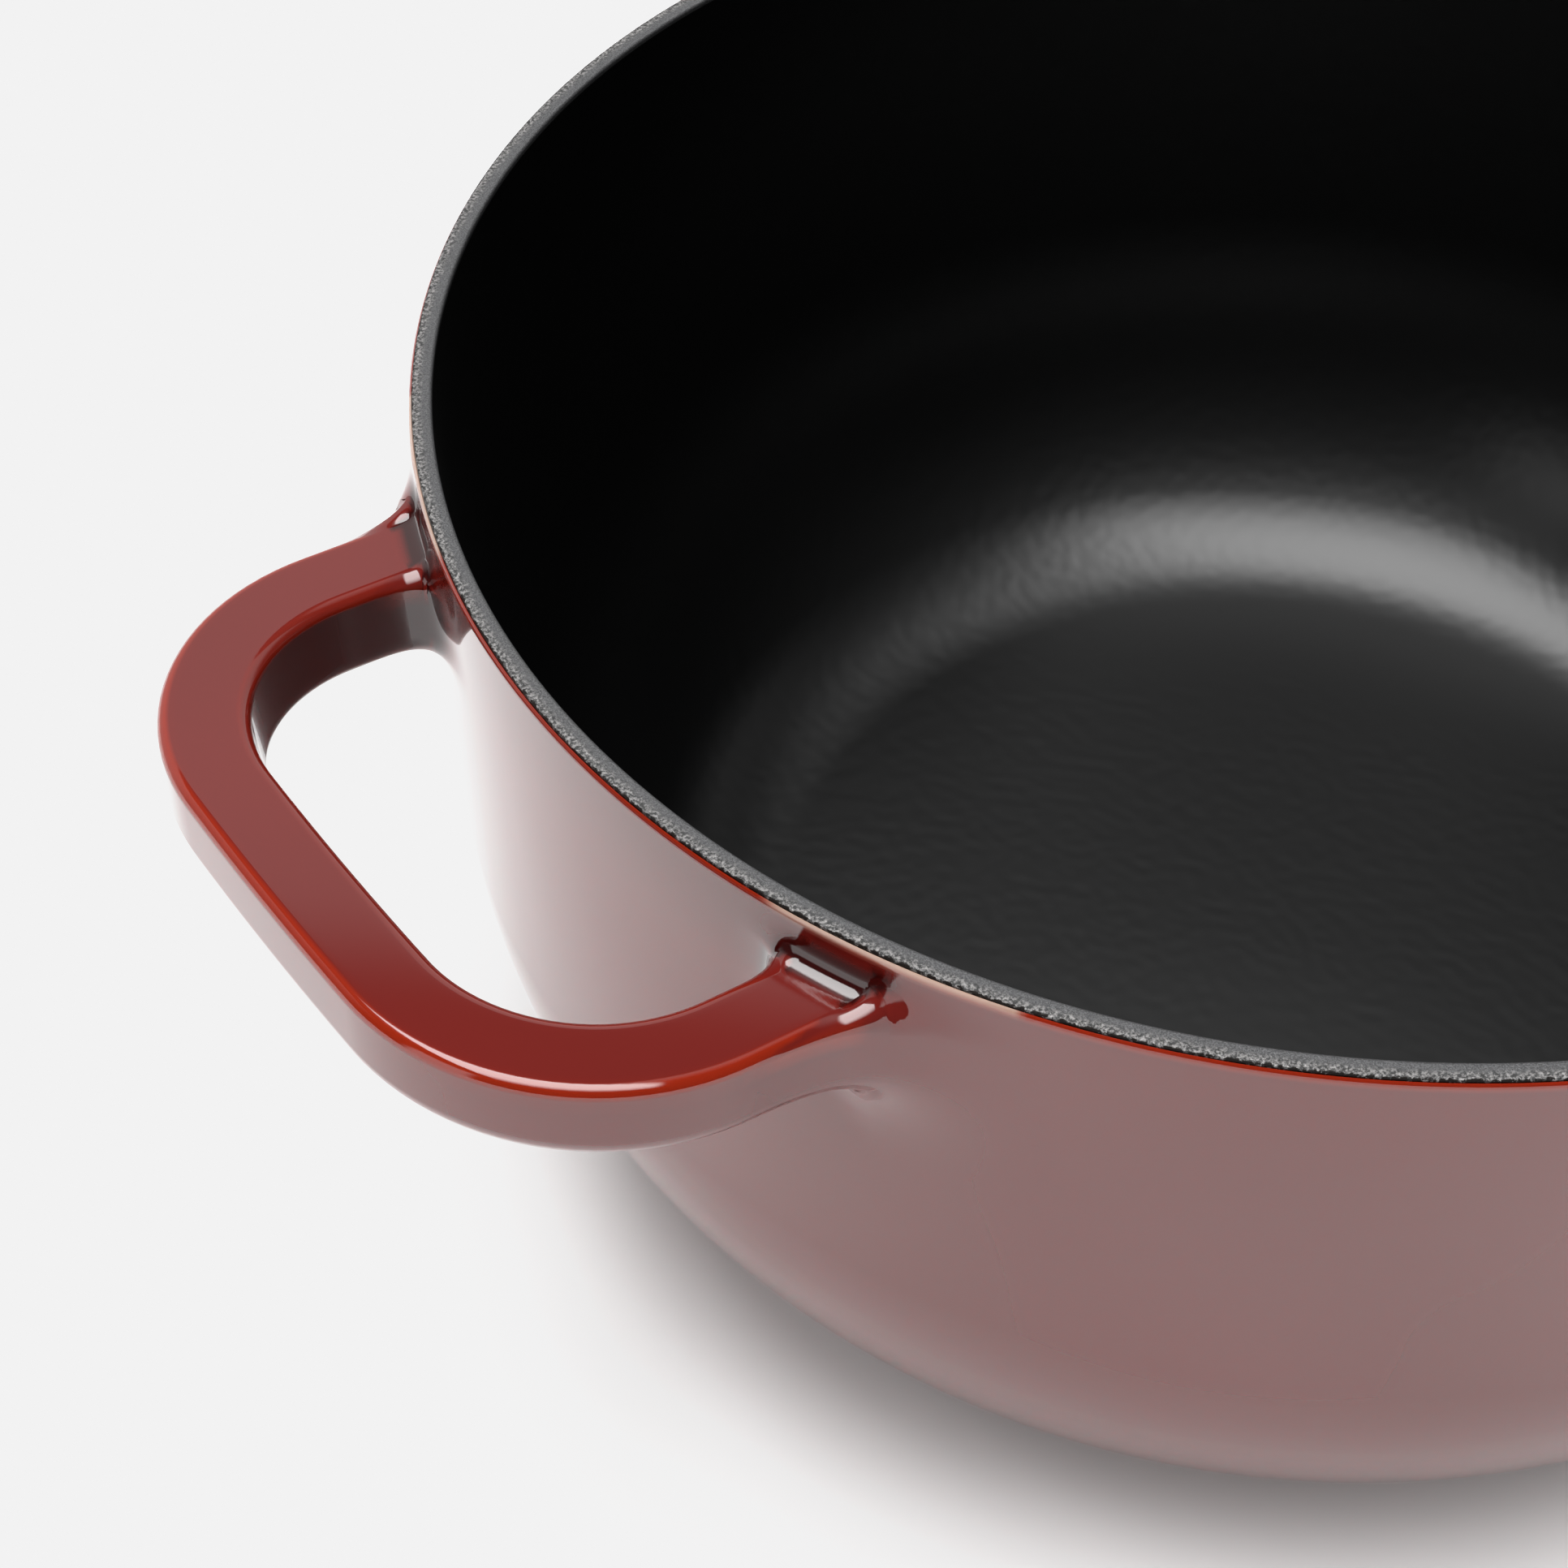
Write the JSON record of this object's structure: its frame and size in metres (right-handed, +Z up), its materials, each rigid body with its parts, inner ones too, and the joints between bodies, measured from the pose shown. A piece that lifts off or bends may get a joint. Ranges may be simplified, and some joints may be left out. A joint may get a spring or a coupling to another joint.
{
  "type": "cast iron dutch oven",
  "caption": "Round enamelled cast iron dutch oven with cast-in loop handles and a domed lid with a steel knob, the lid turned over beside the pot.",
  "frame": {"origin": "centre of the pot's flat underside, on the surface that it stands on", "axes": "+Z up out of the pot; the handles point along +X and -X, and the lid lies beyond the +X handle"},
  "size_m": [0.6249, 0.26, 0.125],
  "materials": {
    "bare_iron": "ground bare rim, fine speckle",
    "red_enamel": "glossy dark red vitreous enamel, lighter orange-red on edges",
    "base_enamel": "semi-gloss dark red vitreous enamel",
    "black_enamel": "satin black vitreous enamel, fine orange peel",
    "lid_iron": "ground bare seat, fine speckle",
    "lid_red_enamel": "glossy dark red vitreous enamel",
    "lid_black_enamel": "satin black vitreous enamel, fine orange peel",
    "knob_steel": "turned and lightly brushed",
    "collar": "matte heat-resistant polymer",
    "washer_steel": "plain spring steel",
    "screw_steel": "plain stainless"
  },
  "bodies": {
    "pot": {"pot_casting": "bare_iron", "exterior_enamel": "red_enamel", "underside_enamel": "base_enamel", "interior_enamel": "black_enamel"},
    "lid": {"lid_casting": "lid_iron", "lid_exterior_enamel": "lid_red_enamel", "lid_interior_enamel": "lid_black_enamel", "lid_knob": "knob_steel", "knob_collar": "collar", "knob_lock_washer": "washer_steel", "knob_screw": "screw_steel"}
  },
  "joints": [
    {"name": "lid_lift", "type": "hinge", "parent": "pot", "child": "lid", "pos_m": [0.162, 0, 0.0916], "axis": [0, -1, 0], "range_deg": [0, 180]}
  ]
}
